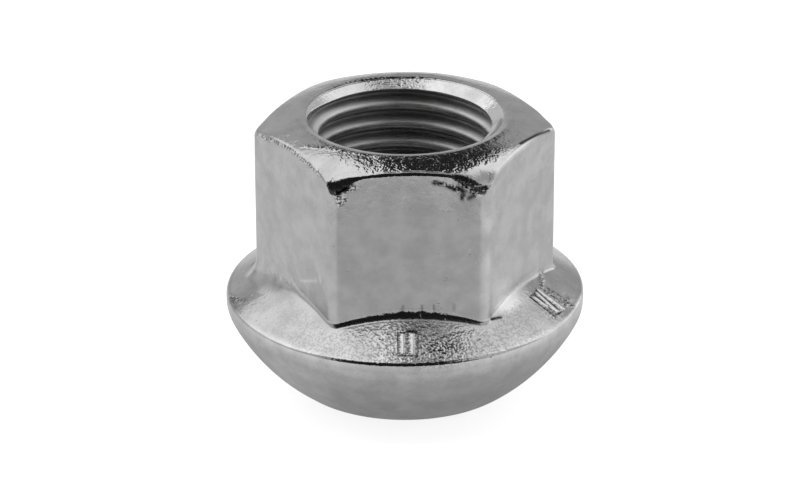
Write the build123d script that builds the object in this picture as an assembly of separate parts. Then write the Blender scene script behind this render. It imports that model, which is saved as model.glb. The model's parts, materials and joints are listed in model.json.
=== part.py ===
from build123d import *
from math import cos, radians, sqrt, tan
import os

os.makedirs("parts", exist_ok=True)

# Open-ended wheel nut, forged in one piece: a hexagon for the wrench stands on a wide
# round collar, and the underside of the collar is a truncated ball that centres itself
# in the seat of a wheel. Millimetres and degrees, +Z up, the origin in the middle of
# the seat end. One flat of the hexagon faces -Y.

# Thread, M14 x 1.5: the bore is drawn at the diameter of the thread's crests
THREAD_MAJOR = 14.0
THREAD_PITCH = 1.5
MOUTH_OVERSIZE = 0.6        # countersink's mouth, on diameter, over the thread
COUNTERSINK_ANGLE = 120.0   # included angle of both countersinks

# Hexagon
ACROSS_FLATS = 19.0         # wrench size
HEIGHT = 20.3               # whole nut, seat end to wrench end
CORNER_ROUND = 1.0          # radius of the six upright corners
TOP_LAND = 0.9              # width of the flat ring round the upper mouth
TOP_LAND_ROUND = 2.0        # blend from that ring into the chamfer
TOP_CHAMFER_ANGLE = 22.0    # fall of the chamfer towards the corners

# Collar and ball seat
BALL_RADIUS = 14.4
SEAT_LAND = 1.05            # width of the flat ring round the lower mouth
RIM_INSET = 1.35            # collar's radius, short of the ball's
RIM_LAND = 1.1              # height of the upright band round the rim
RIM_ROUND = 0.35            # both edges of that band
COLLAR_SLOPE = 31.4         # fall of the collar's upper side towards the rim
FOOT_FILLET = 0.7           # where the hexagon stands on the collar

# Worked out from the sizes above
BORE_RADIUS = THREAD_MAJOR / 2 - 5 / 8 * THREAD_PITCH * cos(radians(30))
MOUTH_RADIUS = (THREAD_MAJOR + MOUTH_OVERSIZE) / 2
MOUTH_DEPTH = (MOUTH_RADIUS - BORE_RADIUS) / tan(radians(COUNTERSINK_ANGLE / 2))
TOP_LAND_RADIUS = MOUTH_RADIUS + TOP_LAND
SEAT_FACE_RADIUS = MOUTH_RADIUS + SEAT_LAND
COLLAR_RADIUS = BALL_RADIUS - RIM_INSET
BALL_CENTRE_Z = sqrt(BALL_RADIUS**2 - SEAT_FACE_RADIUS**2)
RIM_BOTTOM_Z = BALL_CENTRE_Z - sqrt(BALL_RADIUS**2 - COLLAR_RADIUS**2)
RIM_TOP_Z = RIM_BOTTOM_Z + RIM_LAND
SLOPE = tan(radians(COLLAR_SLOPE))
FLAT_FOOT_Z = RIM_TOP_Z + (COLLAR_RADIUS - ACROSS_FLATS / 2) * SLOPE
SAME = 1e-6                 # lengths closer than this are equal


def spun(section):
    """The solid that a half section, drawn as radius against height, sweeps round +Z."""
    return revolve(Plane.XZ * section, Axis.Z)


def corners_at(section, radius):
    """The corners of a half section that lie at one distance from the axis."""
    return section.vertices().filter_by(lambda corner: abs(corner.X - radius) < SAME)


def foot_edges(nut):
    """Where the collar's slope cuts the flats and corners: neither straight nor circular."""
    cut = nut.edges().filter_by(
        lambda edge: edge.geom_type not in (GeomType.LINE, GeomType.CIRCLE)
    )
    return cut.filter_by_position(Axis.Z, RIM_TOP_Z, FLAT_FOOT_Z)


def collar():
    """Flat seat end, ball, upright rim and the upper side sloping up to the hexagon."""
    tip_z = RIM_TOP_Z + COLLAR_RADIUS * SLOPE
    seat_edge = (SEAT_FACE_RADIUS, 0)
    rim_bottom = (COLLAR_RADIUS, RIM_BOTTOM_Z)
    rim_top = (COLLAR_RADIUS, RIM_TOP_Z)
    ball = RadiusArc(seat_edge, rim_bottom, -BALL_RADIUS)
    rest = Polyline(rim_bottom, rim_top, (0, tip_z), (0, 0), seat_edge)
    section = make_face(ball + rest)
    return spun(fillet(corners_at(section, COLLAR_RADIUS), RIM_ROUND))


def wrench_end():
    """All that lies inside the chamfer: a wide disc whose upper side is a shallow cone."""
    reach = ACROSS_FLATS
    fall = (reach - TOP_LAND_RADIUS) * tan(radians(TOP_CHAMFER_ANGLE))
    land_edge = (TOP_LAND_RADIUS, HEIGHT)
    chamfer_end = (reach, HEIGHT - fall)
    outline = Polyline((0, 0), (reach, 0), chamfer_end, land_edge, (0, HEIGHT), (0, 0))
    section = make_face(outline)
    return spun(fillet(corners_at(section, TOP_LAND_RADIUS), TOP_LAND_ROUND))


def hexagon():
    """Prism with round corners from inside the collar to the chamfered wrench end."""
    outline = RegularPolygon(ACROSS_FLATS / 2, 6, major_radius=False)
    outline = fillet(outline.vertices(), CORNER_ROUND)
    prism = Pos(0, 0, RIM_BOTTOM_Z) * extrude(outline, HEIGHT - RIM_BOTTOM_Z)
    return prism & wrench_end()


def bore():
    """The hole for the stud, with a countersink at each end."""
    upper_wall = (BORE_RADIUS, HEIGHT - MOUTH_DEPTH)
    lower_wall = (BORE_RADIUS, MOUTH_DEPTH)
    upper_mouth = (MOUTH_RADIUS, HEIGHT)
    lower_mouth = (MOUTH_RADIUS, 0)
    outline = Polyline(
        (0, 0), lower_mouth, lower_wall, upper_wall, upper_mouth, (0, HEIGHT), (0, 0)
    )
    return spun(make_face(outline))


blank = collar() + hexagon()
blank = fillet(foot_edges(blank), FOOT_FILLET)
lug_nut = blank - bore()

export_step(lug_nut, "parts/lug_nut.step")
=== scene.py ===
import json
from functools import reduce
from math import cos, pi, radians, sin, tan

import bpy
import numpy as np
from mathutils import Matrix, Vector

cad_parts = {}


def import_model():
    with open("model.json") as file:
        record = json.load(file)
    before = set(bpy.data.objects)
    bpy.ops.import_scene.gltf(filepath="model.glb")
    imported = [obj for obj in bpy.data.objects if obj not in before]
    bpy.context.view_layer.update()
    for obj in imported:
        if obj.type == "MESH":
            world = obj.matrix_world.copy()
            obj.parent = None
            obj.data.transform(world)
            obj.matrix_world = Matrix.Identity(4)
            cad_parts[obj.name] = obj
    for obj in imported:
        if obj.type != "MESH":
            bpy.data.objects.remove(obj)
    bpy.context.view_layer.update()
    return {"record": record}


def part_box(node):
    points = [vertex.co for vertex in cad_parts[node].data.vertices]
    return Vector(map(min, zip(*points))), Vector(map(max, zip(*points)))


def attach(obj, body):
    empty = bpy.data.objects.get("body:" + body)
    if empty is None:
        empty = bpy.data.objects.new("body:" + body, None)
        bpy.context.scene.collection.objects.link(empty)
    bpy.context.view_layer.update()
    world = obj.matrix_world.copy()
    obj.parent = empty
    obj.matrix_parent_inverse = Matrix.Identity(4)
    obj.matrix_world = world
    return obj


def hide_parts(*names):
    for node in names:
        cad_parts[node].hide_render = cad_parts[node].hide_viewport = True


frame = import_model()

# A ball-seat wheel nut, forged in one piece and zinc plated. It stands on its seat end,
# one flat of the hexagon facing -Y. The forging, the thread inside it and the marks on
# its collar are surfaces worked out below from the nut's own sizes, in millimetres.
# Azimuths are in degrees, 0 in front and positive to the right. What changes round the
# nut is a table of (azimuth, value) pairs.

MM = 0.001
LOW, HIGH = (np.array(corner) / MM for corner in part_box("lug_nut"))
THREAD = frame["record"]["mounts"][0]["dims"]

# Hexagon
HEIGHT = HIGH[2] - LOW[2]
APOTHEM = 9.5               # half the wrench size
CORNER_ROUND = 1.0          # upright corners of the hexagon
CORNER_BEGINS = (9.9, 10.45)  # distances from the axis between which a flat turns into a corner

# Wrench end
TOP_LAND_RADIUS = ((-180, 7.82), (-100, 7.82), (-60, 7.52), (-20, 7.54), (20, 7.54),
                   (60, 7.5), (100, 7.82), (180, 7.82))  # where the end starts to fall away
TOP_DROP = 0.52             # of the middle of each flat's edge
TOP_CROWN = 0.06            # curvature of the wrench end, halved
CORNER_DROOP = ((-40, 0), (-38, 0.36), (-22, 0.36), (-20, 0),
                (20, 0), (22, 0.58), (38, 0.58), (40, 0))  # of the two front corners
DROOP_SPREAD = 7            # azimuth
DROOP_BEGINS = (9.6, 10.8)  # distance from the axis
TOP_EDGE_ROUND = 0.36       # between the wrench end and the flats
TOP_CORNER_ROUND = ((-180, 0.2), (72, 0.2), (85, 0.35), (95, 0.35), (108, 0.2),
                    (180, 0.2))  # added to it at the corners

# Countersinks
MOUTH_RADIUS = 7.2          # where the countersink would meet the wrench end unrounded
MOUTH_ROUND = ((-180, 0.6), (-160, 0.5), (-145, 0.35), (-100, 0.25), (0, 0.2), (60, 0.25),
               (140, 0.2), (165, 0.35), (180, 0.6))
COUNTERSINK_RISE = tan(radians(33))

# Corners cut back where the die didn't fill: how far the cut reaches along the flat's top
# edge, below the corner and along the next flat's top edge
FRONT_LEFT_CUT = (2.4, 1.15, 0.7)
FRONT_RIGHT_CUT = (3.2, 0.85, 0.5)
SMALL_CUTS = ((0.9, 1.5), (0.4, 0.8), (0.3, 0.5))  # least and most of each
CUT_BEND = 0.05             # between the cut and the skin beside it

# Collar and ball seat
COLLAR_RADIUS = HIGH[0]
COLLAR_SLOPE = radians(31.4)
COLLAR_TILT = 0.006         # the collar was forged this far out of square, right side high
SLOPE_FALL = tan(COLLAR_SLOPE)
FOOT_FILLET = ((-180, 1.3), (-110, 2.0), (-75, 3.0), (-64, 2.4), (-54, 0.7), (-40, 0.45),
               (-33, 0.5), (-28, 0.6), (-18, 0.68), (-5, 0.78), (14, 0.8), (25, 0.6),
               (29, 0.45), (66, 0.45), (90, 0.55), (112, 1.2), (180, 1.3))
SEAT_FACE_RADIUS = 8.35
BALL_RADIUS = 14.4
BALL_CENTRE_Z = (BALL_RADIUS**2 - SEAT_FACE_RADIUS**2) ** 0.5
RIM_BOTTOM_Z = BALL_CENTRE_Z - (BALL_RADIUS**2 - COLLAR_RADIUS**2) ** 0.5
RIM_LAND = 1.1
RIM_TOP_Z = RIM_BOTTOM_Z + RIM_LAND
RIM_ROUND = 0.36
RIM_UNDER_ROUND = 2.0       # between the rim and the ball

# Unevenness of the forging: its height, its shortest and longest wave and their number
SWELL = (0.02, 5, 11, 24)
LUMPS = (0.0075, 1.1, 2.6, 60)
PITS = (0.003, 0.45, 0.8, 90)
LEAST_SWELL = 0.3           # share of the swell where the skin is not grained
SLOPE_LUMPS, SLOPE_PITS = 0.5, 0.2  # share of each that the slope has
LEAST_DENT = 0.03           # keeps the uneven skin inside the nut's true size
TICK_DEPTH = 0.03
SKIN_COLUMNS = 640

# Parts of the skin
CROWN_DEPTH = 1.6           # of the wrench end, below its top
SLOPE_BOTTOM_Z = RIM_TOP_Z - 0.3
SLOPE_TOP_Z = RIM_TOP_Z + 2.2
RIM_EDGE = (12.6, 12.8)     # distances from the axis where the slope's worn edge, with its painted highlight, begins
WALL_END = 10.9             # distance from the axis past which nothing is hexagon
CUTS_BEGIN = MOUTH_RADIUS + 1.3  # distance from the axis past which corners are cut back

# How grained and how speckled the skin is round the nut, how much brighter the rim's worn
# edge is than the slope (worn, and a painted highlight), and the painted highlights that make
# the countersinks bright
CROWN_GRAIN = ((-180, 0.6), (-90, 0.3), (-50, 0.3), (-25, 0.5), (-8, 1.0), (14, 1.0),
               (24, 0.75), (40, 0.45), (55, 0.25), (90, 0.25), (180, 0.6))
SLOPE_GRAIN = ((-180, 0.3), (-78, 0.12), (-60, 0.25), (-40, 0.3), (-15, 0.4), (0, 0.6),
               (8, 0.8), (35, 0.5), (47, 0.25), (75, 0.1), (180, 0.3))
SLOPE_SPECKS = ((-180, 0.1), (-66, 0.0), (-45, 0.1), (-30, 0.18), (-15, 0.22), (-8, 0.45),
                (5, 0.45), (22, 0.22), (35, 0.2), (48, 0.15), (58, 0.0), (180, 0.1))
RIM_WEAR_AND_HIGHLIGHT = ((-180, 0), (-80, -0.2), (-60, 0.1), (-42, 0.2), (-25, 0.05), (0, 0.1),
            (30, 0.15), (42, 0.2), (60, 0.1), (80, -0.1), (180, 0))
# painted highlights on the countersinks, by azimuth
CONE_HIGHLIGHTS = ((-180, 1.15), (-170, 1.15), (-160, 1.25), (-128, 1.35), (-112, 1.7),
               (-100, 1.6), (-80, 1.1), (80, 1.1), (95, 1.7), (108, 2.1), (117, 1.3),
               (126, 1.1), (150, 1.2), (161, 1.3), (170, 1.15), (180, 1.15))

# Patches of the skin, each a bell curve about one place: azimuth and its spread, then
# distance from the axis or height and its spread
BESIDE_FRONT_MARK = (10.5, 10, 12, 0.8)
FRONT_GRAIN = -0.2                           # share of the grain that is added there
BESIDE_SIDE_MARK = (60, 4, 12.1, 0.5)
SIDE_SPECKS, SIDE_GRAIN = 0.7, 0.5
SMOOTH_SLOPE = (19, 10, 10.9, 11.3)          # azimuth and spread, then where it ends
SMOOTH_CORNER = (31, 4, 9.7, 10.0)           # azimuth and spread, then where it begins
SLOPE_SMOOTHING, CORNER_SMOOTHING = 0.7, 0.8  # share of the grain and specks lost there
OPEN_SLOPE_BEGINS = (0.25, 0.6)              # distances from the hexagon's wall
OPEN_SLOPE_ENDS = 0.15                       # height above the rim's top
SLOPE_LIGHT_AND_SHADE = [             # with the change of brightness there: painted highlights and shade
    (44, 6, 10.15, 0.4, 0.35),
    (43, 9, 11.4, 0.6, -0.15),
    (1, 7, 10.4, 0.5, -0.35),
    (-65, 8, 10.1, 0.5, -0.25),
]
WALL_HIGHLIGHTS = [              # painted highlights, by height, with how far out the patch goes and the change
    (39, 8, 10.4, 1.3, 10.9, 0.22),
    (44, 9, 9.3, 0.8, 10.5, 0.6),
]

# Stretches of the skin painted with highlights or shade, and by how much: azimuths between
# which each begins and between which it ends
SHADED_LEFT_SLOPE = ((-95, -75), (-40, -25), -0.07)  # painted shade on the slope at the left
RIGHT_EDGE_HIGHLIGHT = ((20, 32), (60, 75), 0.35)      # painted highlight along the wrench end's edge
RIGHT_EDGE_BEGINS = (9.0, 9.5)               # distance from the axis
RIGHT_EDGE_DEPTH = (-0.4, -0.2)              # below the wrench end, where it stops
# painted shade on the back of the wrench end
BACK_SHADE_BEGINS, BACK_SHADE = (120, 150), -0.12  # azimuths to either side
LIP_ENDS, LIP_RADIUS, LIP_DEPTH, LIP_HIGHLIGHT = (90, 50), 7.5, 0.4, 0.35  # painted highlight along the front of the mouth
CORNER_HIGHLIGHT = (31, 2.2)     # azimuth and spread of the painted highlight along the right front corner
CORNER_HIGHLIGHT_TOP, CORNER_HIGHLIGHT_BRIGHT = 18, 0.08
CORNER_HIGHLIGHT_WAVES = (0.7, 2.5, 40, 4)  # shortest, longest, number and seed

# Lines on the skin, from end to end
# Ticks cut into the skin and darkened in them with painted shade
TICKS = [((x, -APOTHEM, 9.25), (x, -APOTHEM, 9.65)) for x in (-0.42, 0.92, 1.77, 3.18)]
# Scratches and highlight strokes: scratches brightened in colour with painted highlights
SCRATCHES_AND_HIGHLIGHTS = [
    ((-7.65, -5.74, 9.92), (-6.24, -8.2, 11.05)), ((-10.5, -1.7, 8.35), (-8.69, -4.14, 9.46)),
    ((3.25, -9.5, 18.28), (3.4, -9.5, 18.38)), ((3.87, -9.5, 17.82), (4.05, -9.5, 17.9)),
    ((4.65, -9.5, 17.92), (5.05, -9.5, 18.12)),
]
ROUND_SIDE_MARK = [
    ((9.8, -1.7, 8.7), (9.7, -4.1, 8.3)), ((9.7, -4.1, 8.3), (11.4, -4.7, 7.2)),
    ((11.4, -4.7, 7.2), (11.7, -3.6, 7.2)), ((10.2, -3.8, 8.2), (11.6, -4.2, 7.3)),
    ((11.6, -4.2, 7.3), (12.0, -4.4, 7.0)),
]
# Lines where the skin is speckled: coarser grain, a grit bump, painted dark dots and painted
# glints
SPECKLED = ROUND_SIDE_MARK + [
    ((1.8, -9.5, 19.15), (3.3, -9.5, 18.65)), ((3.3, -9.5, 18.65), (3.8, -9.5, 18.0)),
    ((-5.1, -9.5, 18.4), (-4.8, -9.5, 17.5)), ((-5.0, -9.4, 18.2), (-4.4, -9.5, 17.9)),
    ((-4.9, -9.5, 17.6), (-4.5, -9.5, 17.7)), ((-4.4, -9.5, 18.45), (-3.7, -9.5, 18.8)),
    ((3.6, -9.5, 18.9), (4.6, -9.5, 18.2)), ((-12.8, -1.4, 6.8), (-12.0, -3.0, 7.1)),
    ((-7.3, -4.9, 20.1), (-4.7, -6.3, 20.2)), ((-4.7, -6.3, 20.2), (-2.0, -7.6, 20.2)),
    ((-4.9, 5.6, 20.3), (-3.1, 6.8, 20.3)), ((-3.1, 6.8, 20.3), (-1.6, 7.15, 20.3)),
    ((-1.6, 7.15, 20.3), (1.3, 7.1, 20.3)),
]
EDGE_SPECKLED = [
    ((-10.6, -0.6, 19.2), (-8.2, -4.75, 19.7)), ((-8.2, -4.75, 19.7), (-6.2, -8.2, 19.3)),
]
# Lines of painted shade over reflected highlights and speckle
PAINTED_SHADE_LINES = ROUND_SIDE_MARK + [
    ((-11.0, -0.4, 8.0), (-11.0, -0.76, 8.4)), ((-12.6, -2.3, 6.8), (-11.7, -3.2, 7.2)),
    ((3.4, -9.5, 18.85), (4.4, -9.5, 18.3)), ((-11.0, 2.2, 7.8), (-11.4, 0.9, 7.65)),
    ((-11.4, 0.9, 7.65), (-11.7, 0.3, 7.5)),
]
# Painted black reflections across the top of the front flat
PAINTED_BLACK_REFLECTIONS = [
    ((1.75, -9.5, 19.05), (2.3, -9.5, 19.0)), ((2.7, -9.5, 18.8), (3.25, -9.5, 18.5)),
    ((3.45, -9.5, 18.65), (3.8, -9.5, 18.35)), ((3.8, -9.5, 18.35), (3.7, -9.5, 17.85)),
    ((4.15, -9.5, 17.85), (4.55, -9.5, 18.05)), ((-4.9, -9.5, 18.4), (-4.25, -9.5, 18.75)),
]
# Painted dark lines: shade at the foot of the right front corner and a dark reflection along the
# top edge at the right
DARK_EDGES = [
    ((5.85, -8.97, 8.25), (6.1, -8.8, 8.24)), ((6.1, -8.8, 8.24), (6.55, -8.53, 8.2)),
    ((8.0, -4.6, 19.85), (9.2, -2.76, 19.7)), ((9.2, -2.76, 19.7), (10.35, -0.85, 19.3)),
]
# painted shade that greys the right front corner
GREY_CORNER = [((4.9, -8.9, 19.1), (5.9, -8.5, 19.05))]
TICK_SPREAD, SPECKLED_SPREAD = 0.08, 0.17
EDGE_SPECKS, SPECKLED_GRAIN = 0.7, 0.5  # strength of the edge's specks, grain added by specks
BURR, BURR_SPREAD, BURR_GRAIN = (4.2, -9.4, 18.5), 0.775, 0.45  # by the right front corner
BRIGHTNESS_LINES = [        # spread of the bell curve about each, and the change of brightness: painted shade in the ticks, painted highlights on the scratches, painted shade along the shade lines
    (TICKS, TICK_SPREAD, -0.5), (SCRATCHES_AND_HIGHLIGHTS, 0.07, 0.4), (PAINTED_SHADE_LINES, 0.25, -0.35),
]
GREY_SPREAD, GREY_SHADE = 0.5, 0.4
BLACK_REFLECTION_SPREAD, DARK_EDGE_SPREAD, BLACK_REFLECTION_WIDENING, BLACK_REFLECTION_SHADE = 0.13, 0.1, 1.6, 0.95

# Marks on the collar: a pad's sides, its ends and its height, then the lines along which
# ribs stand and grooves run on it, in distance across and distance from the axis
FRONT_MARK_AZIMUTH, SIDE_MARK_AZIMUTH = -0.75, 63.4
FRONT_PAD = (-0.68, 0.7, 10.8, 12.4, 0.09)
FRONT_RIBS = [((-0.33, 10.9), (-0.33, 12.2)), ((0.36, 10.9), (0.36, 12.25))]
FRONT_GROOVES = [((-0.78, 11.0), (-0.78, 12.1)), ((0.79, 11.0), (0.79, 12.0))]
SIDE_PAD = (-1.1, 0.45, 10.45, 12.45, 0.06)
SIDE_RIBS = [((-0.25, 10.6), (-0.47, 12.15)), ((0.14, 10.5), (0.32, 12.4)),
             ((-0.86, 10.75), (-0.8, 11.5))]
SIDE_GROOVES = [((-0.02, 10.15), (-0.13, 11.2)), ((-0.13, 11.2), (-0.12, 12.1)),
                ((0.52, 10.4), (0.58, 12.35)), ((-0.45, 10.15), (-0.45, 10.5)),
                ((-0.58, 10.6), (-0.62, 11.3)), ((-0.6, 12.4), (0.3, 12.6))]
RIB_HEIGHT, RIB_SPREAD, GROOVE_DEPTH, GROOVE_SPREAD = 0.055, 0.16, 0.03, 0.1
PAD_EDGE, PAD_OUTER_EDGE = 0.1, 0.07  # over which the pad rises at its sides and outer end
PAD_INNER_EDGE = (0.1, 0.2, -0.3, 0.2)  # least, what is added to it, and between which sides
PAD_ARCH, PAD_ARCH_BEGINS = 0.5, 0.2  # curvature of the pad's inner end, right of this line
SHADED_SIDE, SIDE_SHADE = (0.4, 0.65), 0.3  # left of the pad's middle, and how much darker
SIDE_MARGIN, INNER_MARGIN, OUTER_MARGIN, SKIRT = 0.3, 0.35, 0.25, 0.1
MARK_SUNK, MARK_LOWERED = 0.02, 0.01  # into the slope and straight down, to the dented skin
MARGIN_SUNK = 0.03          # more than that, outside the pad
MARK_COLUMNS = 91
# painted highlights on the front and side ribs, then the pad's tone and the grooves' shade
FRONT_RIB_HIGHLIGHT, SIDE_RIB_HIGHLIGHT, PAD_BRIGHT, GROOVE_SHADE = 1.35, 1.6, 0.85, 0.97
PAD_GRAIN, RIB_GRAIN, PAD_SPECKS, MARK_ROUGH = 0.5, 0.2, 0.6, 0.18

# Thread
THREAD_PITCH = 1.5
CREST_RADIUS = THREAD["r_mm"]
CREST_WIDTH = THREAD_PITCH / 4
ROOT_RADIUS = 7.0
FLANK_RISE = tan(radians(60))
THREAD_BEND = 0.07          # at crest and root
THREAD_FADES = (0.02, 0.22)  # distances of a crest from the nut's ends over which it grows whole
BORE_WALL = 7.08            # where the skin of the forging stops and the thread takes over
BEHIND_THREAD = 0.02        # how far behind that the lining's own back lies
FIRST_CREST_DEPTH = 0.41    # of the first crest below the wrench end, at the back
SEEN_DEPTH = 6.5            # of the finely drawn part of the thread
FULL_THREAD_DEPTH = 1.35    # where the countersink has ended everywhere
LOWER_CONE_HEIGHT = 1.2     # below which the lower countersink is drawn
BORE_COLUMNS = 420
FLANK_HIGHLIGHT_RADIUS = (6.42, 0.24)  # distance from the axis and spread of the painted highlight on the upper flanks
THREAD_BRIGHT, FLANK_HIGHLIGHT, THREAD_ROUGH, CONE_ROUGH = 0.68, 0.97, 0.5, 0.18
THREAD_GRAIN, CONE_GRAIN, BACK_CONE_GRAIN = 0.05, 0.3, 0.5
BACK_CONE_BEGINS = (155, 172)  # azimuths to either side


# ---------------------------------------------------------------- mesh helpers

def mesh_object(name, points, faces, material, finish):
    """A smooth mesh object at the origin, from a grid of points in millimetres and faces as
    index tuples. finish holds one number per point and name, which the material reads."""
    mesh = bpy.data.meshes.new(name)
    mesh.from_pydata((points.reshape(-1, 3) * MM).tolist(), [], faces.tolist())
    mesh.polygons.foreach_set("use_smooth", [True] * len(mesh.polygons))
    for label, values in finish.items():
        mesh.attributes.new(label, "FLOAT", "POINT").data.foreach_set("value", values.ravel())
    mesh.materials.append(material)
    mesh.update()
    piece = bpy.data.objects.new(name, mesh)
    bpy.context.collection.objects.link(piece)
    return piece


def grid_faces(rows, columns, wrap):
    """Quads between neighbours of a grid, closed along both directions where it wraps."""
    row = np.arange(rows if wrap else rows - 1)
    column = np.arange(columns if wrap else columns - 1)
    r, c = (a.ravel() for a in np.meshgrid(row, column, indexing="ij"))
    below, beside = (r + 1) % rows, (c + 1) % columns
    return np.stack(
        [r * columns + c, below * columns + c, below * columns + beside, r * columns + beside],
        axis=1,
    )


def around(radius, angle, height):
    """Points at a distance from the axis, an angle round it from the front, and a height."""
    return np.stack([radius * np.sin(angle), -radius * np.cos(angle), height + 0 * angle], -1)


def azimuth_of(angle):
    """Angles as azimuths from -180 to 180 degrees."""
    return np.degrees(np.arctan2(np.sin(angle), np.cos(angle)))


def round_table(angle, table):
    """Value at each angle on straight lines between (azimuth, value) pairs."""
    azimuth, value = zip(*table)
    return np.interp(azimuth_of(angle), azimuth, value)


def step(value, low, high):
    """Smooth step: 0 at low, 1 at high and 3t^2 - 2t^3 between them."""
    t = np.clip((value - low) / (high - low), 0, 1)
    return t * t * (3 - 2 * t)


def plateau(value, rise, fall):
    """1 between two ranges of a value, with a smooth step up over the first and down over
    the second."""
    return step(value, *rise) * step(-value, -fall[1], -fall[0])


def bell(value, middle, spread):
    """Bell curve: 1 at the middle and 1/e at one spread from it."""
    return np.exp(-(((value - middle) / spread) ** 2))


def waves(points, shortest, longest, count, seed):
    """Uneven surface: the sum of plane waves of random direction, phase and length between
    two lengths, scaled so that its spread is 1."""
    rng = np.random.default_rng(seed)
    direction = rng.normal(size=(count, 3))
    direction /= np.linalg.norm(direction, axis=1, keepdims=True)
    length = np.exp(rng.uniform(np.log(shortest), np.log(longest), count))
    phase = rng.uniform(0, 2 * pi, count)
    total = np.zeros(points.shape[:-1])
    for k in range(count):
        total += np.sin(points @ (direction[k] * (2 * pi / length[k])) + phase[k])
    return total * (2 / count) ** 0.5


def near_lines(points, lines, spread):
    """1 on each line, given by its two ends, and falling off as a bell curve around it."""
    nearness = np.zeros(points.shape[:-1])
    for start, end in lines:
        start, end = np.array(start), np.array(end)
        along = np.clip((points - start) @ (end - start) / np.sum((end - start) ** 2), 0, 1)
        off = np.linalg.norm(points - start - along[..., None] * (end - start), axis=-1)
        nearness = np.maximum(nearness, bell(off, 0, spread))
    return nearness


# ---------------------------------------------------------------- the forging's section

def hexagon_radius(angle):
    """Distance from the axis to the hexagon's wall. On a flat it is the apothem over the
    cosine of the angle from the middle of that flat; on a round corner it is where the ray
    meets the corner's circle."""
    from_flat = np.abs((angle + pi / 6) % (pi / 3) - pi / 6)
    from_corner = pi / 6 - from_flat
    centre = (APOTHEM - CORNER_ROUND) / cos(pi / 6)
    flat = APOTHEM / np.cos(from_flat)
    reach = np.maximum(CORNER_ROUND**2 - (centre * np.sin(from_corner)) ** 2, 0)
    corner = centre * np.cos(from_corner) + np.sqrt(reach)
    flat_ends = (APOTHEM - CORNER_ROUND) * tan(pi / 6)
    return np.where(APOTHEM * np.tan(from_flat) > flat_ends, corner, flat)


def angles_round(count):
    """Angles round the axis, closer together where the hexagon turns its corners: even
    shares of a density that rises to its crowding within a few degrees of a corner."""
    crowding, reach = 3.5, radians(3.2)
    fine = np.linspace(0, 2 * pi, 20001)
    from_corner = np.abs(fine % (pi / 3) - pi / 6)
    density = 1 + (crowding - 1) * np.exp(-((from_corner / reach) ** 4))
    share = np.concatenate([[0], np.cumsum((density[1:] + density[:-1]) / 2)])
    return np.interp(np.arange(count) / count, share / share[-1], fine)


def rounded_corner(before, corner, after, radius, steps):
    """Arc of one radius that touches both legs of a corner, for each angle round the axis:
    from the point where it leaves the first leg it runs radius * sin(turn) along that leg
    and radius * (1 - cos(turn)) across it."""
    leg_in = corner - before
    leg_in = leg_in / np.linalg.norm(leg_in, axis=-1, keepdims=True)
    leg_out = after - corner
    leg_out = leg_out / np.linalg.norm(leg_out, axis=-1, keepdims=True)
    turn = np.arctan2(
        leg_in[..., 0] * leg_out[..., 1] - leg_in[..., 1] * leg_out[..., 0],
        (leg_in * leg_out).sum(-1),
    )
    across = np.stack([-leg_in[..., 1], leg_in[..., 0]], -1) * np.sign(turn)[..., None]
    start = corner - leg_in * (radius * np.tan(np.abs(turn) / 2))[..., None]
    radius = (radius + 0 * turn)[..., None]
    part = np.linspace(0, 1, steps)[:, None, None] * np.abs(turn)[..., None]
    return start + radius * (np.sin(part) * leg_in + (1 - np.cos(part)) * across)


def between(start, end, low, high, count):
    """Points on the straight line from start to end, from one share of it to another."""
    return np.stack([start + (end - start) * s for s in np.linspace(low, high, count)])


def top_surface(radius, angle):
    """Height of the wrench end: level on its land, then falling along a parabola that
    passes the middle of each flat's edge, and drooping more at the two front corners."""
    land = round_table(angle, TOP_LAND_RADIUS)
    out = np.maximum(radius - land, 0)
    to_edge = APOTHEM - land
    fall = TOP_DROP / to_edge - TOP_CROWN * to_edge
    droop = round_table(angle, CORNER_DROOP) * bell(np.abs(azimuth_of(angle)), 30, DROOP_SPREAD)
    droop = droop * step(radius, *DROOP_BEGINS)
    return HEIGHT - fall * out - TOP_CROWN * out**2 - droop


def slope_height(radius, angle):
    """Height of the collar's upper side: a cone about the axis, tilted to the right."""
    tilt = COLLAR_TILT * np.sin(angle) * COLLAR_RADIUS
    return RIM_TOP_Z + (COLLAR_RADIUS - radius) * SLOPE_FALL + tilt


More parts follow.
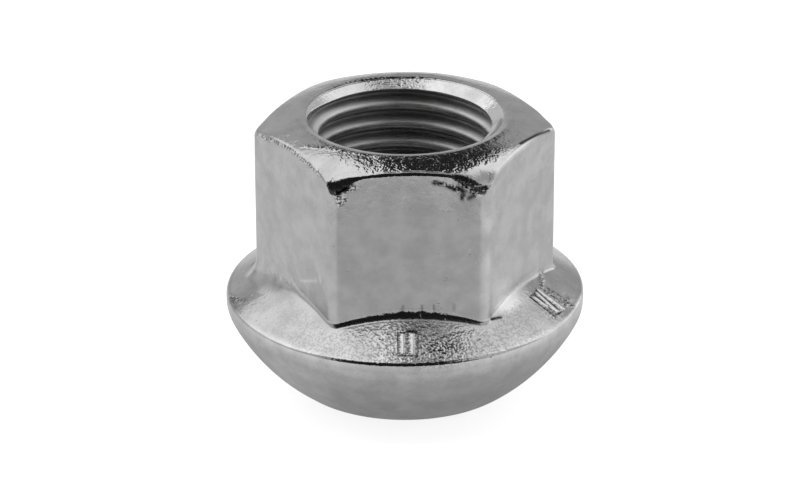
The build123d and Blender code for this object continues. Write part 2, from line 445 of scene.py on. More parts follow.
def forging_section(angle):
    """Half sections of the nut, one for each angle, as (points, angles, 2): radius and
    height. They run from the upper mouth over the wrench end, down the hexagon, over the
    collar and its rim, round the ball, across the seat face and up the bore's wall: straight
    lines and arcs between the corners below. With them comes the finish of each row: its
    forging grain, turning, roughness and brightness."""
    wall = hexagon_radius(angle)

    def at(radius, height):
        return np.stack([radius + 0 * angle, height + 0 * angle], -1)

    mouth_depth = (MOUTH_RADIUS - BORE_WALL) * COUNTERSINK_RISE
    upper_wall, lower_wall = at(BORE_WALL, HEIGHT - mouth_depth), at(BORE_WALL, mouth_depth)
    upper_mouth, lower_mouth = at(MOUTH_RADIUS, HEIGHT), at(MOUTH_RADIUS, 0)
    land_radius = round_table(angle, TOP_LAND_RADIUS)
    land = at(land_radius, HEIGHT)
    just_inside = wall - 0.3
    near_edge = at(just_inside, top_surface(just_inside, angle))
    shoulder = at(wall, top_surface(wall, angle))
    foot = at(wall, slope_height(wall, angle))
    rim_top = at(COLLAR_RADIUS, slope_height(COLLAR_RADIUS, angle))
    rim_bottom = at(COLLAR_RADIUS, RIM_BOTTOM_Z)
    first = np.arctan2(RIM_BOTTOM_Z - BALL_CENTRE_Z, COLLAR_RADIUS)
    last = np.arctan2(-BALL_CENTRE_Z, SEAT_FACE_RADIUS)
    ball = [
        at(BALL_RADIUS * cos(a), BALL_CENTRE_Z + BALL_RADIUS * sin(a))
        for a in np.linspace(first, last, 16)
    ]
    seat_edge = ball[-1]

    corner = step(wall, *CORNER_BEGINS)
    edge_round = TOP_EDGE_ROUND + round_table(angle, TOP_CORNER_ROUND) * corner
    edge = rounded_corner(near_edge, shoulder, foot, edge_round, 9)
    crown_radius = [land_radius + (edge[0, :, 0] - land_radius) * s
                    for s in np.linspace(0.02, 0.96, 18)]
    crown = np.stack([at(r, top_surface(r, angle)) for r in crown_radius])
    foot_arc = rounded_corner(shoulder, foot, rim_top, round_table(angle, FOOT_FILLET), 9)
    rim_arc = rounded_corner(foot, rim_top, rim_bottom, RIM_ROUND, 7)
    under_arc = rounded_corner(rim_top, rim_bottom, ball[2], RIM_UNDER_ROUND, 8)
    mouth_round = round_table(angle, MOUTH_ROUND)
    mouth_arc = rounded_corner(upper_wall, upper_mouth, land, mouth_round, 9)
    flat = [edge[-1], foot_arc[0]]
    top_of_flat = np.concatenate([edge[-1:], between(*flat, 0.015, 0.23, 17)])

    # rows, forging grain, turning, roughness, brightness
    parts = [
        (between(upper_wall, upper_mouth, 0.0, 0.3, 2), 0.3, 0.5, 0.2, 1.0),
        (mouth_arc, 0.4, 0.3, 0.1, 1.05),
        (between(upper_mouth, land, 0.5, 0.95, 3), 0.25, 0.3, 0.2, 1.1),
        (crown, 0.8, 0.0, 0.12, 1.0),
        (edge[:-1], 0.4, 0.0, 0.15, 1.0),
        (top_of_flat, 0.3, 0.0, 0.22, 1.0),
        (between(*flat, 0.29, 0.77, 6), 0.12, 0.0, 0.3, 1.0),
        (between(*flat, 0.8, 0.995, 17), 0.12, 0.0, 0.28, 1.0),
        (foot_arc, 0.4, 0.0, 0.18, 1.0),
        (between(foot_arc[-1], rim_arc[0], 0.04, 0.97, 22), 0.8, 0.0, 0.15, 1.0),
        # the rim's rounding a little brighter: a painted highlight on its worn edge
        (rim_arc, 0.5, 0.0, 0.15, 1.12),
        (under_arc, 0.3, 0.3, 0.27, 1.0),
        (np.stack(ball[2:-1]), 0.2, 0.4, 0.3, 1.0),
        (rounded_corner(ball[-2], seat_edge, lower_mouth, 0.2, 4), 0.1, 1.0, 0.3, 1.0),
        (rounded_corner(seat_edge, lower_mouth, lower_wall, 0.12, 4), 0.1, 1.0, 0.3, 1.0),
        (between(lower_wall, upper_wall, 0, 0.9, 3), 0.0, 1.0, 0.5, 1.0),
    ]
    rows = np.concatenate([part[0] for part in parts])
    finish = [np.concatenate([[part[k]] * len(part[0]) for part in parts]) for k in range(1, 5)]
    return rows, finish


def cut_corners(angle, radius, height):
    """How far planes cut the hexagon's top corners back. Each plane passes through a point
    on the flat's top edge, one below the corner and one on the next flat's top edge; the cut
    is the distance along the radius from it, past a short bend."""
    half_width = APOTHEM * tan(pi / 6)
    rng = np.random.default_rng(5)
    cut = 0 * height
    for k in range(6):
        for side in (-1, 1):
            along, below, past = (rng.uniform(*limits) for limits in SMALL_CUTS)
            if k == 0:
                along, below, past = FRONT_LEFT_CUT if side < 0 else FRONT_RIGHT_CUT
            middle = k * pi / 3
            facing = np.array([sin(middle), -cos(middle)])
            to_corner = side * np.array([cos(middle), sin(middle)])
            corner = facing * APOTHEM + to_corner * half_width
            on_flat = corner - to_corner * along
            on_next = corner + (to_corner * cos(pi / 3) - facing * sin(pi / 3)) * past
            a, b, c = (
                np.array([*place, top_surface(np.hypot(*place), np.arctan2(place[0], -place[1]))])
                for place in (on_flat, corner, on_next)
            )
            b[2] -= below
            normal = np.cross(b - a, c - a)
            normal *= np.sign(normal[:2] @ facing) / np.linalg.norm(normal)
            toward = normal[0] * np.sin(angle) - normal[1] * np.cos(angle)
            plane = (normal @ a - normal[2] * height) / np.maximum(toward, 0.2)
            near = np.cos(angle - middle - side * pi / 6) > cos(radians(32))
            over = np.maximum(radius - plane, 0) * near
            cut = np.maximum(cut, over**2 / (over + CUT_BEND))
    return cut


# ---------------------------------------------------------------- the forging's skin

class Skin:
    """The forging before it is dented: a grid of places, each with its distance from the
    axis, angle, azimuth, height and point, and whether it is on the wrench end's crown, on
    the collar's slope or on the hexagon."""

    def __init__(self, radius, angle, height):
        self.radius, self.angle, self.height = radius, angle, height
        self.azimuth = azimuth_of(angle)
        self.points = around(radius, angle, height)
        self.on_crown = (radius > MOUTH_RADIUS) & (height > HEIGHT - CROWN_DEPTH)
        self.on_slope = (radius > APOTHEM) & (height < SLOPE_TOP_Z) & (height > SLOPE_BOTTOM_Z)
        self.on_hexagon = radius < WALL_END

    def patch(self, azimuth, across, radius, out):
        """Bell curve about a place on the slope, across in azimuth and out in radius."""
        return bell(self.azimuth, azimuth, across) * bell(self.radius, radius, out) * self.on_slope


def speckling(skin, speckled):
    """How speckled the skin is: most along the speckled lines, in two patches beside the
    marks, and on the open slope between the hexagon's foot and the rim."""
    off_foot = step(skin.radius - hexagon_radius(skin.angle), *OPEN_SLOPE_BEGINS)
    off_rim = step(skin.height, RIM_TOP_Z, RIM_TOP_Z + OPEN_SLOPE_ENDS)
    slope = round_table(skin.angle, SLOPE_SPECKS) * off_foot * off_rim
    slope = slope * (skin.height < SLOPE_TOP_Z) * (1 - SLOPE_SMOOTHING * smooth_slope(skin))
    front, side = skin.patch(*BESIDE_FRONT_MARK), SIDE_SPECKS * skin.patch(*BESIDE_SIDE_MARK)
    return reduce(np.maximum, (speckled, slope, front, side))


def smooth_slope(skin):
    """1 where the slope is smooth, between the front mark and the right corner."""
    azimuth, across, ends, gone = SMOOTH_SLOPE
    return bell(skin.azimuth, azimuth, across) * step(-skin.radius, -gone, -ends) * skin.on_slope


def worn_grain(grain, skin, speckled):
    """Forging grain for the finish: coarser where the skin is speckled, about the burr and
    beside the side mark, smoother beside the front mark and at the right front corner."""
    azimuth, across, begins, whole = SMOOTH_CORNER
    smooth_corner = bell(skin.azimuth, azimuth, across) * step(skin.radius, begins, whole)
    burr = bell(np.linalg.norm(skin.points - BURR, axis=-1), 0, BURR_SPREAD)
    grain = grain * (1 + FRONT_GRAIN * skin.patch(*BESIDE_FRONT_MARK))
    grain = grain + SPECKLED_GRAIN * speckled + BURR_GRAIN * burr
    grain = grain * (1 - CORNER_SMOOTHING * smooth_corner * skin.on_crown)
    grain = grain * (1 - SLOPE_SMOOTHING * smooth_slope(skin))
    return grain + SIDE_GRAIN * skin.patch(*BESIDE_SIDE_MARK)


def brightness_with_painted_light(bright, skin):
    """Brightness of the plating, most of it painted light and shade: the rim's worn edge is
    brightened with a painted highlight; painted highlights lie on the top edge on the right, the
    front of the mouth and the right front corner; painted shade at the back and on the left;
    painted highlights and shade in the patches of the two tables and along the lines; painted
    black reflections."""
    azimuth, radius, height = skin.azimuth, skin.radius, skin.height
    # the rim's worn edge brightened with a painted highlight
    rim = step(radius, *RIM_EDGE) * skin.on_slope * round_table(skin.angle, RIM_WEAR_AND_HIGHLIGHT)
    # painted shade on the left of the slope and at the back of the wrench end
    *span, change = SHADED_LEFT_SLOPE
    bright = bright + rim + change * plateau(azimuth, *span) * skin.on_slope
    bright = bright + BACK_SHADE * step(np.abs(azimuth), *BACK_SHADE_BEGINS) * skin.on_crown
    # painted highlight along the wrench end's edge on the right
    *span, change = RIGHT_EDGE_HIGHLIGHT
    edge_highlight = step(height - top_surface(radius, skin.angle), *RIGHT_EDGE_DEPTH)
    edge_highlight = edge_highlight * step(radius, *RIGHT_EDGE_BEGINS) * skin.on_crown
    bright = bright + change * plateau(azimuth, *span) * edge_highlight
    # painted highlight along the right front corner, wavering
    corner_highlight = bell(azimuth, *CORNER_HIGHLIGHT) * skin.on_hexagon * (height < CORNER_HIGHLIGHT_TOP)
    corner_highlight = corner_highlight * (1 + waves(skin.points, *CORNER_HIGHLIGHT_WAVES))
    # painted highlight along the front of the mouth
    lip_highlight = (radius < LIP_RADIUS) * (height > HEIGHT - LIP_DEPTH) * step(np.abs(azimuth), *LIP_ENDS)
    bright = bright + CORNER_HIGHLIGHT_BRIGHT * corner_highlight + LIP_HIGHLIGHT * lip_highlight
    # painted highlights and shade in patches on the slope and the flats
    for *place, change in SLOPE_LIGHT_AND_SHADE:
        bright = bright + change * skin.patch(*place)
    for middle, across, level, upward, end, change in WALL_HIGHLIGHTS:
        patch = bell(azimuth, middle, across) * bell(height, level, upward) * (radius < end)
        bright = bright + change * patch
    for lines, spread, change in BRIGHTNESS_LINES:
        bright = bright + change * near_lines(skin.points, lines, spread)
    # painted shade at the right front corner
    bright = bright * (1 - GREY_SHADE * near_lines(skin.points, GREY_CORNER, GREY_SPREAD))
    # painted black reflections and dark lines
    black_reflection = np.maximum(near_lines(skin.points, PAINTED_BLACK_REFLECTIONS, BLACK_REFLECTION_SPREAD),
                       near_lines(skin.points, DARK_EDGES, DARK_EDGE_SPREAD))
    return bright * (1 - BLACK_REFLECTION_SHADE * np.minimum(BLACK_REFLECTION_WIDENING * black_reflection, 1))


def outward(points):
    """Normals of a grid closed both ways: across its two neighbours' chords."""
    down = np.roll(points, -1, 0) - np.roll(points, 1, 0)
    along = np.roll(points, -1, 1) - np.roll(points, 1, 1)
    normal = np.cross(down, along)
    return normal / np.linalg.norm(normal, axis=-1, keepdims=True)


def unevenness(skin, grain):
    """Height of the dented skin over the true one: swell everywhere, lumps and pits by the
    grain and less of both on the slope, and the ticks cut in."""
    swell, lumps, pits = (
        high * waves(skin.points, *lengths, seed)
        for seed, (high, *lengths) in enumerate((SWELL, LUMPS, PITS), start=1)
    )
    lumps = lumps * np.where(skin.on_slope, SLOPE_LUMPS, 1)
    pits = pits * np.where(skin.on_slope, SLOPE_PITS, 1)
    everywhere = LEAST_SWELL + (1 - LEAST_SWELL) * grain
    tick = near_lines(skin.points, TICKS, TICK_SPREAD)
    return (swell - LEAST_DENT) * everywhere + (lumps + pits) * grain - TICK_DEPTH * tick


def forging(material):
    """The nut's skin: its half sections, set out round the axis, then moved along its
    normals by its unevenness, less where it was turned."""
    angle = angles_round(SKIN_COLUMNS)
    section, finish = forging_section(angle)
    radius, height = section[..., 0], section[..., 1]
    angle = angle + 0 * height
    on_head = (radius > CUTS_BEGIN) & (height > HEIGHT / 2)
    radius = radius - cut_corners(angle, radius, height) * on_head
    skin = Skin(radius, angle, height)
    grain, turned, roughness, bright = (np.repeat(row[:, None], SKIN_COLUMNS, 1) for row in finish)
    grain = grain * np.where(skin.on_crown, round_table(angle, CROWN_GRAIN), 1)
    grain = grain * np.where(skin.on_slope, round_table(angle, SLOPE_GRAIN), 1)
    dent = unevenness(skin, grain) * (1 - turned)
    points = skin.points + outward(skin.points) * dent[..., None]
    points[..., 2] = np.clip(points[..., 2], 0, HEIGHT)

    speckled = near_lines(skin.points, SPECKLED, SPECKLED_SPREAD)
    speckled = speckled + EDGE_SPECKS * near_lines(skin.points, EDGE_SPECKLED, SPECKLED_SPREAD)
    finish = {"grain": worn_grain(grain, skin, speckled), "roughness": roughness,
              "bright": brightness_with_painted_light(bright, skin), "specks": speckling(skin, speckled)}
    return mesh_object("forged_nut", points, grid_faces(*height.shape, True), material, finish)


# ---------------------------------------------------------------- the thread

def thread_radius(angle, height):
    """Radius of the threaded bore: the crest's radius for a quarter of a pitch about each
    crest, then out along flanks 30 degrees from level, as far as the root. Both bends are
    the upper branch of a hyperbola. The crests climb one pitch a turn, right handed."""
    crest = HEIGHT - FIRST_CREST_DEPTH + (angle - pi) / (2 * pi) * THREAD_PITCH
    crest = crest + np.round((height - crest) / THREAD_PITCH) * THREAD_PITCH
    past = np.abs(height - crest) - CREST_WIDTH / 2
    rise = (past + np.sqrt(past**2 + THREAD_BEND**2)) / 2 * FLANK_RISE
    short = ROOT_RADIUS - CREST_RADIUS - rise
    whole = step(np.minimum(HEIGHT - crest, crest), *THREAD_FADES)
    return ROOT_RADIUS - whole * (short + np.sqrt(short**2 + THREAD_BEND**2)) / 2


def threaded_bore(material):
    """Lining of the bore: on a grid of height and angle its radius is that of the thread or
    of the countersinks, whichever is more. A plain wall behind it closes the lining."""
    from_end = (MOUTH_RADIUS - BORE_WALL) * COUNTERSINK_RISE
    spans = [(HEIGHT - from_end, HEIGHT - FULL_THREAD_DEPTH, 36),
             (HEIGHT - FULL_THREAD_DEPTH, HEIGHT - SEEN_DEPTH, 56),
             (HEIGHT - SEEN_DEPTH, LOWER_CONE_HEIGHT, 74), (LOWER_CONE_HEIGHT, from_end, 18)]
    height = np.concatenate([np.linspace(top, low, count, endpoint=low == from_end)
                             for top, low, count in spans])
    angle = np.linspace(0, 2 * pi, BORE_COLUMNS, endpoint=False)
    height, angle = np.meshgrid(height, angle, indexing="ij")
    cone = MOUTH_RADIUS - np.minimum(height, HEIGHT - height) / COUNTERSINK_RISE
    thread = thread_radius(angle, height)
    behind = (2, BORE_COLUMNS)
    radius = np.concatenate([np.maximum(thread, cone), np.full(behind, BORE_WALL + BEHIND_THREAD)])
    height = np.concatenate([height, height[[-1, 0]]])
    angle = np.concatenate([angle, angle[:2]])
    on_cone = np.concatenate([step(cone - thread, -0.01, 0.01), np.ones(behind)])

    # painted highlight on the thread's upper flanks
    flank_highlight = bell(radius, *FLANK_HIGHLIGHT_RADIUS) * (np.gradient(radius, axis=0) < 0)
    thread_bright = THREAD_BRIGHT + FLANK_HIGHLIGHT * flank_highlight
    at_back = step(np.abs(azimuth_of(angle)), *BACK_CONE_BEGINS)
    finish = {
        "grain": THREAD_GRAIN + (CONE_GRAIN + BACK_CONE_GRAIN * at_back) * on_cone,
        "roughness": THREAD_ROUGH + (CONE_ROUGH - THREAD_ROUGH) * on_cone,
        # painted highlights on the countersinks
        "bright": thread_bright + (round_table(angle, CONE_HIGHLIGHTS) - thread_bright) * on_cone,
    }
    faces = grid_faces(*radius.shape, True)[:, ::-1]
    return mesh_object("threaded_bore", around(radius, angle, height), faces, material, finish)


# ---------------------------------------------------------------- the marks

def collar_mark(name, material, azimuth, pad, ribs, grooves, rib_highlight):
    """Raised mark on the collar's slope. Over a grid of distance across and distance out,
    a pad rises as a product of smooth steps at its sides and ends, its inner end arched to
    one side; ribs stand and grooves run on it as bell curves about their lines. Outside the
    pad the mark sinks into the skin. The grooves are dark and the ribs bright with painted
    highlights."""
    left, right, inner, outer, high = pad
    leftmost, rightmost = left - SIDE_MARGIN, right + SIDE_MARGIN
    innermost, outermost = inner - INNER_MARGIN, outer + OUTER_MARGIN
    across = np.linspace(leftmost, rightmost, MARK_COLUMNS)[:, None]
    out = np.linspace(innermost, outermost, MARK_COLUMNS)[None, :]
    place = np.stack([across + 0 * out, out + 0 * across], -1)
    rib = near_lines(place, ribs, RIB_SPREAD)
    groove = near_lines(place, grooves, GROOVE_SPREAD)
    least, added, *sides = PAD_INNER_EDGE
    arch = inner + PAD_ARCH * np.maximum(across - PAD_ARCH_BEGINS, 0) ** 2
    soft = least + added * step(across, *sides)
    raised = high * plateau(across, (left - PAD_EDGE, left), (right, right + PAD_EDGE))
    raised = raised * step(out, arch - soft, arch) * step(-out, -outer - PAD_OUTER_EDGE, -outer)
    inside = plateau(across, (leftmost, left - SKIRT), (right + SKIRT, rightmost))
    inside = inside * plateau(out, (innermost, inner - 2 * SKIRT), (outer + SKIRT, outermost))
    height = raised + (RIB_HEIGHT * rib - GROOVE_DEPTH * groove) * inside
    height = height - MARGIN_SUNK * (1 - inside) - MARK_SUNK
    angle = radians(azimuth) + across / out
    z = slope_height(out, angle) - MARK_LOWERED + height * cos(COLLAR_SLOPE)
    points = around(out + height * sin(COLLAR_SLOPE), angle, z)
    shade = 1 - SIDE_SHADE * step(-across, *SHADED_SIDE) * (1 - rib)
    # painted highlights on the ribs
    bright = (PAD_BRIGHT + (rib_highlight - PAD_BRIGHT) * rib) * (1 - GROOVE_SHADE * groove) * shade
    finish = {"grain": PAD_GRAIN + (RIB_GRAIN - PAD_GRAIN) * rib, "bright": bright,
              "roughness": MARK_ROUGH + 0 * height, "specks": PAD_SPECKS * (1 - rib)}
    faces = grid_faces(*height.shape, False)[:, ::-1]
    return mesh_object(name, points, faces, material, finish)


# ---------------------------------------------------------------- finish

# Patterns of the plating, in cells a metre, and its tones
PEEL_CELLS, FINE_PEEL_CELLS, GRIT_CELLS, NICK_CELLS, MOTTLE_CELLS = 3000, 7000, 6000, 1500, 620
PLATING_TONES = (0.53, 0.65)  # darkest and brightest of the mottled zinc
MOTTLE_LEVELS, PEAK_LEVELS, NICK_LEVELS = (0.28, 0.72), (0.58, 0.7), (0.68, 0.73)
DOT_LEVELS, GLINT_LEVELS = (0.51, 0.42), (0.53, 0.6)  # of the grit
GRAIN_SHADE = 0.16          # painted shade: how much darker full grain is between its peaks
# painted shade of the dark dots, then painted glints, where the skin is speckled
SPECK_SHADE = 0.9
SPECK_GLINT = 0.4
MOST_SHADE = MOST_BRIGHT = 0.9
COARSE_SHARE, FINE_SHARE = 1.1, 0.4  # of the peel
LEAST_PEEL, GRAINED_PEEL, NICK_DEPTH, GRIT_HEIGHT = 0.05, 0.95, 0.3, 0.4
BUMP_DEPTH = 0.00005        # metres


class Nodes:
    """Short hand for a node tree: each call adds nodes, links or sets their inputs and gives
    back an output."""

    def __init__(self, tree):
        self.tree = tree

    def add(self, kind, out=0, inputs=None, **settings):
        node = self.tree.nodes.new("ShaderNode" + kind)
        for name, value in settings.items():
            setattr(node, name, value)
        for key, value in (inputs or {}).items():
            if isinstance(value, bpy.types.NodeSocket):
                self.tree.links.new(value, node.inputs[key])
            else:
                node.inputs[key].default_value = value
        return node.outputs[out]

    def math(self, operation, *values):
        """One operation over all the values, from the first to the last."""
        def pair(a, b):
            return self.add("Math", inputs={0: a, 1: b}, operation=operation)
        return reduce(pair, values)

    def total(self, *values):
        return self.math("ADD", *values)

    def product(self, *values):
        return self.math("MULTIPLY", *values)

    def most(self, *values):
        return self.math("MAXIMUM", *values)

    def rest(self, value):
        """What a value leaves of 1."""
        return self.math("SUBTRACT", 1.0, value)

    def ramp(self, value, low, high, to_low=0.0, to_high=1.0):
        """Smooth step of a value from one level to another."""
        inputs = {"Value": value, "From Min": low, "From Max": high,
                  "To Min": to_low, "To Max": to_high}
        return self.add("MapRange", inputs=inputs, interpolation_type="SMOOTHSTEP")

    def noise(self, vector, scale, detail=2.0, roughness=0.5):
        inputs = {"Vector": vector, "Scale": scale, "Detail": detail, "Roughness": roughness}
        return self.add("TexNoise", inputs=inputs)

    def attribute(self, name):
        return self.add("Attribute", "Fac", attribute_name=name)


def zinc_plating():
    """Zinc over forged steel, by the attributes of the skin: the zinc is mottled; where it
    is grained it is dimpled like orange peel, with painted shade between the peaks, and where it
    is speckled it has a grit bump with painted dark dots and painted glints. Its colour is
    scaled by the skin's brightness, which carries painted light and shade. A few nicks lie all
    over."""
    material = bpy.data.materials.new("zinc_plated_steel")
    material.use_nodes = True
    tree = material.node_tree
    nodes = Nodes(tree)
    shader = tree.nodes["Principled BSDF"]
    where = nodes.add("TexCoord", "Object")
    grain, specks = nodes.attribute("grain"), nodes.attribute("specks")

    coarse, fine = nodes.noise(where, PEEL_CELLS, 1.0), nodes.noise(where, FINE_PEEL_CELLS, 0.0)
    peel = nodes.total(nodes.product(coarse, COARSE_SHARE), nodes.product(fine, FINE_SHARE))
    grit = nodes.noise(where, GRIT_CELLS, 0.0)
    nicks = nodes.ramp(nodes.noise(where, NICK_CELLS, 2.0), *NICK_LEVELS)
    mottle = nodes.noise(where, MOTTLE_CELLS, 3.0, 0.6)

    tone = nodes.ramp(mottle, *MOTTLE_LEVELS, *PLATING_TONES)
    # painted shade between the peel's peaks, and painted dark dots where speckled
    between_peaks = nodes.rest(nodes.ramp(peel, *PEAK_LEVELS))
    dots = nodes.product(nodes.ramp(grit, *DOT_LEVELS), specks, SPECK_SHADE)
    shade = nodes.total(nodes.product(between_peaks, grain, GRAIN_SHADE), dots)
    shade = nodes.math("MINIMUM", shade, MOST_SHADE)
    # painted glints where speckled
    glints = nodes.product(nodes.ramp(grit, *GLINT_LEVELS), specks, SPECK_GLINT)
    glints = nodes.total(glints, 1.0)
    colour = nodes.product(tone, nodes.rest(shade), glints, nodes.attribute("bright"))
    colour = nodes.math("MINIMUM", colour, MOST_BRIGHT)
    tree.links.new(colour, shader.inputs["Base Color"])
    shader.inputs["Metallic"].default_value = 1.0
    tree.links.new(nodes.attribute("roughness"), shader.inputs["Roughness"])

    dimples = nodes.product(peel, nodes.total(nodes.product(grain, GRAINED_PEEL), LEAST_PEEL))
    cut = nodes.product(nicks, -NICK_DEPTH)
    depth = nodes.total(dimples, cut, nodes.product(grit, specks, GRIT_HEIGHT))
    bump = nodes.add("Bump", "Normal", {"Height": depth, "Strength": 1.0, "Distance": BUMP_DEPTH})
    tree.links.new(bump, shader.inputs["Normal"])
    return material


# ---------------------------------------------------------------- studio

# The sheet under the nut, in metres
SHEET_HALF = 1.5
SHEET_GREY = 0.8            # and as much glow, to the camera
SHADE_UNDER_NUT = (0.009, 0.02, 0.34, 0.72)  # painted shade under the nut, seen by the metal: distances from the nut's axis, and the tones there
SHADOW_IN_FRONT = ((0, -0.046, 0), 0.008, 0.034, 0.7, 1.0)  # a painted shadow in front of the nut, its reach and its tones
BRIGHT_PATCH_AT_LEFT = ((-0.0095, -0.006, 0), 0.0065, 0.001, 1.0, 1.3)  # a painted bright patch at the left
FRONT_NARROWED = (1.5, 1, 1)

# Panels and flags of the studio: from one x to another and from one y to another of the
# direction they are seen in, their strength and how soft their edges are
LEFT_BOX = ((-1.2, -0.1), (-0.22, 0.74), 1.05, 0.05)
MIDDLE_BOX = ((-0.2, 1.2), (-0.12, 0.6), 1.1, 0.08)
BEHIND_BOX = ((0.28, 0.48), (0.3, 0.7), 1.15, 0.05)
CORNER_PANEL = ((0.44, 0.85), (-0.72, 0.0), 0.5, 0.05)
FLAGS = [
    ((-0.02, 0.3), (-0.1, 0.32), 0.58, 0.07),    # over the front mark
    ((-0.09, 0.29), (0.14, 0.76), 0.99, 0.04),   # over the front
    ((0.2, 1.2), (-0.1, 0.66), 0.22, 0.07),      # over the right side
    ((-0.11, 0.2), (0.68, 0.86), 0.95, 0.03),    # under the back wall
    ((-0.7, -0.3), (0.73, 0.79), 0.25, 0.03),    # and left of that
]
BOX_RISES, LEFT_BOX_RISES = (0.02, 0.4), (0.32, 0.55, 0.62, 1.0)  # z, and the tones there
BACK_WALL_BEGINS, BACK_WALL_TONES = (0.74, 0.79), (-0.55, 0.65, 0.5, 0.33)  # y, then by x
SIDE_WALL_BEGINS = (0.45, 0.65), (-0.15, 0.1)  # x to either side, and y
SIDE_WALL_TOP, SIDE_WALL_TONES = (0.5, 0.36), (-0.5, 0.5, 0.55, 1.2)  # z, then by x
CORNER_RISES = (0.02, 0.2)  # z
HAZE_BEGINS, HAZE = (-0.32, -0.15), 0.42  # y, and its strength
HAZE_SIDES, HAZE_ADVANCE = (0.5, 0.75), 0.4  # x to either side where it comes further forward
LEAST_LIGHT = 0.012


def floor():
    """A pale sheet. The camera sees it white, with the nut's own shadow; the metal sees it
    glow a soft grey, with painted shade under the nut, a painted shadow in front of it and a
    painted bright patch at the left."""
    half = SHEET_HALF
    mesh = bpy.data.meshes.new("floor")
    corners = [(-half, -half, 0), (half, -half, 0), (half, half, 0), (-half, half, 0)]
    mesh.from_pydata(corners, [], [(0, 1, 2, 3)])
    sheet = bpy.data.objects.new("floor", mesh)
    bpy.context.collection.objects.link(sheet)
    material = bpy.data.materials.new("pale_floor")
    material.use_nodes = True
    tree = material.node_tree
    tree.nodes.clear()
    nodes = Nodes(tree)

    def tone_about(place, vector, *levels):
        distance = nodes.add("VectorMath", "Value", {0: vector, 1: place}, operation="DISTANCE")
        return nodes.ramp(distance, *levels)

    where = nodes.add("TexCoord", "Object")
    from_nut = nodes.add("VectorMath", "Value", {0: where}, operation="LENGTH")
    narrowed = nodes.add("VectorMath", 0, {0: where, 1: FRONT_NARROWED}, operation="MULTIPLY")
    levels = dict(zip(("From Min", "From Max", "To Min", "To Max"), SHADE_UNDER_NUT))
    under = nodes.add("MapRange", inputs={"Value": from_nut, **levels})
    front = tone_about(SHADOW_IN_FRONT[0], narrowed, *SHADOW_IN_FRONT[1:])
    left = tone_about(BRIGHT_PATCH_AT_LEFT[0], where, *BRIGHT_PATCH_AT_LEFT[1:])
    matt = nodes.add("BsdfDiffuse", inputs={"Color": (SHEET_GREY, SHEET_GREY, SHEET_GREY, 1)})
    # glow seen by the metal, with painted shade and a painted shadow in it
    painted_floor_glow = nodes.add("Emission", inputs={"Strength": nodes.product(under, front, left)})
    glow = nodes.add("Emission", inputs={"Strength": SHEET_GREY})
    lit = nodes.add("AddShader", inputs={0: matt, 1: glow})
    glossy = nodes.add("LightPath", "Is Glossy Ray")
    seen = nodes.add("MixShader", inputs={0: glossy, 1: matt, 2: painted_floor_glow})
    camera_ray = nodes.add("LightPath", "Is Camera Ray")
    mixed = nodes.add("MixShader", inputs={0: camera_ray, 1: seen, 2: lit})
    out = tree.nodes.new("ShaderNodeOutputMaterial")
    tree.links.new(mixed, out.inputs["Surface"])
    mesh.materials.append(material)


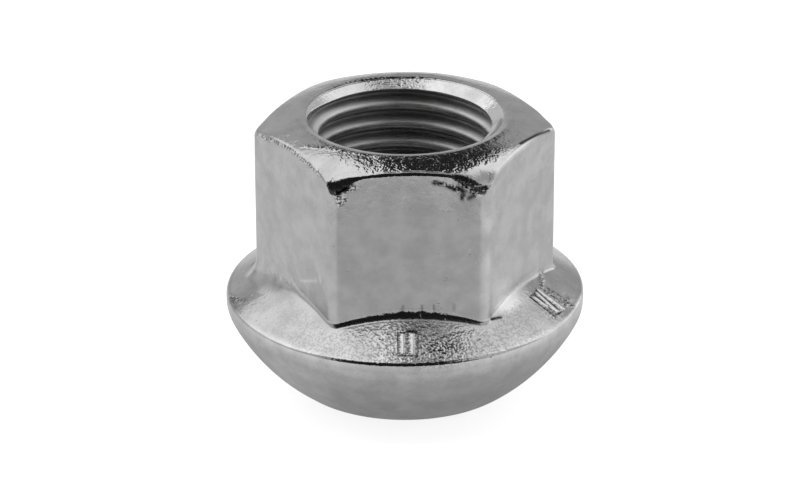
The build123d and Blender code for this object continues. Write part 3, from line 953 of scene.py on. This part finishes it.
def world():
    """White to the camera. To everything else a studio, drawn on the ceiling as it is seen
    from below: a broad soft box overhead with dark flags in it, a grey wall at the back and
    at both sides, a dim panel at the right front corner and a dark room behind the camera."""
    studio = bpy.data.worlds.new("studio")
    bpy.context.scene.world = studio
    studio.use_nodes = True
    tree = studio.node_tree
    nodes = Nodes(tree)
    split = nodes.add("SeparateXYZ", inputs={0: nodes.add("TexCoord", "Generated")}).node
    x, y, z = split.outputs
    sideways = nodes.math("ABSOLUTE", x, 0.0)

    def panel(x_range, y_range, strength, soft):
        """Part of the ceiling between two values of x and two of y, with soft edges."""
        left = nodes.ramp(x, x_range[0] - soft, x_range[0] + soft)
        right = nodes.ramp(x, x_range[1] + soft, x_range[1] - soft)
        near = nodes.ramp(y, y_range[0] - soft, y_range[0] + soft)
        far = nodes.ramp(y, y_range[1] + soft, y_range[1] - soft)
        return nodes.product(left, right, near, far, strength)

    left_box = nodes.product(panel(*LEFT_BOX), nodes.ramp(z, *LEFT_BOX_RISES))
    box = nodes.most(left_box, panel(*MIDDLE_BOX), panel(*BEHIND_BOX))
    box = nodes.product(box, nodes.ramp(z, *BOX_RISES))
    back_wall = nodes.product(nodes.ramp(y, *BACK_WALL_BEGINS), nodes.ramp(x, *BACK_WALL_TONES))
    begins_x, begins_y = SIDE_WALL_BEGINS
    side_walls = nodes.product(
        nodes.ramp(sideways, *begins_x), nodes.ramp(y, *begins_y),
        nodes.ramp(z, *SIDE_WALL_TOP), nodes.ramp(x, *SIDE_WALL_TONES),
    )
    corner = nodes.product(panel(*CORNER_PANEL), nodes.ramp(z, *CORNER_RISES))
    advance = nodes.product(nodes.ramp(sideways, *HAZE_SIDES), HAZE_ADVANCE)
    haze = nodes.product(nodes.ramp(nodes.total(y, advance), *HAZE_BEGINS), HAZE)
    flags = nodes.most(*(panel(*flag) for flag in FLAGS))
    light = nodes.most(box, back_wall, side_walls, corner, haze)
    light = nodes.total(nodes.product(light, nodes.rest(flags)), LEAST_LIGHT)
    background = tree.nodes["Background"]
    background.inputs["Color"].default_value = (1, 1, 1, 1)
    tree.links.new(light, background.inputs["Strength"])
    white = nodes.add("Background", inputs={"Color": (1, 1, 1, 1)})
    camera_ray = nodes.add("LightPath", "Is Camera Ray")
    mixed = nodes.add("MixShader", inputs={0: camera_ray, 1: background.outputs[0], 2: white})
    tree.links.new(mixed, tree.nodes["World Output"].inputs["Surface"])


def camera():
    """Long lens, looking down at the nut a little to the left of the facing flat, and aimed
    just below and to the left of its middle."""
    distance, azimuth, elevation = 266.0, radians(-1.7), radians(24.57)
    below, leftward = 0.309, 0.066
    data = bpy.data.cameras.new("camera")
    data.sensor_width, data.lens = 36, 162.9
    data.clip_start, data.clip_end = 0.01, 10
    view = bpy.data.objects.new("camera", data)
    bpy.context.collection.objects.link(view)
    middle = Vector((0, 0, HEIGHT / 2))
    back = Vector((sin(azimuth) * cos(elevation), -cos(azimuth) * cos(elevation), sin(elevation)))
    up = (Vector((0, 0, 1)) - back * back.z).normalized()
    right = Vector((cos(azimuth), sin(azimuth), 0))
    place = middle + back * distance
    aim = middle - up * below - right * leftward
    view.location = place * MM
    view.rotation_mode = "QUATERNION"
    view.rotation_quaternion = (aim - place).to_track_quat("-Z", "Y")
    bpy.context.scene.camera = view


plating = zinc_plating()
nut = forging(plating)
bore = threaded_bore(plating)
front_mark = collar_mark("collar_mark_front", plating, FRONT_MARK_AZIMUTH, FRONT_PAD,
                         FRONT_RIBS, FRONT_GROOVES, FRONT_RIB_HIGHLIGHT)
side_mark = collar_mark("collar_mark_side", plating, SIDE_MARK_AZIMUTH, SIDE_PAD,
                        SIDE_RIBS, SIDE_GROOVES, SIDE_RIB_HIGHLIGHT)
for piece in (nut, bore, front_mark, side_mark):
    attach(piece, "root")
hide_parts("lug_nut")
floor()
world()
camera()

bpy.context.scene.view_settings.view_transform = "Standard"
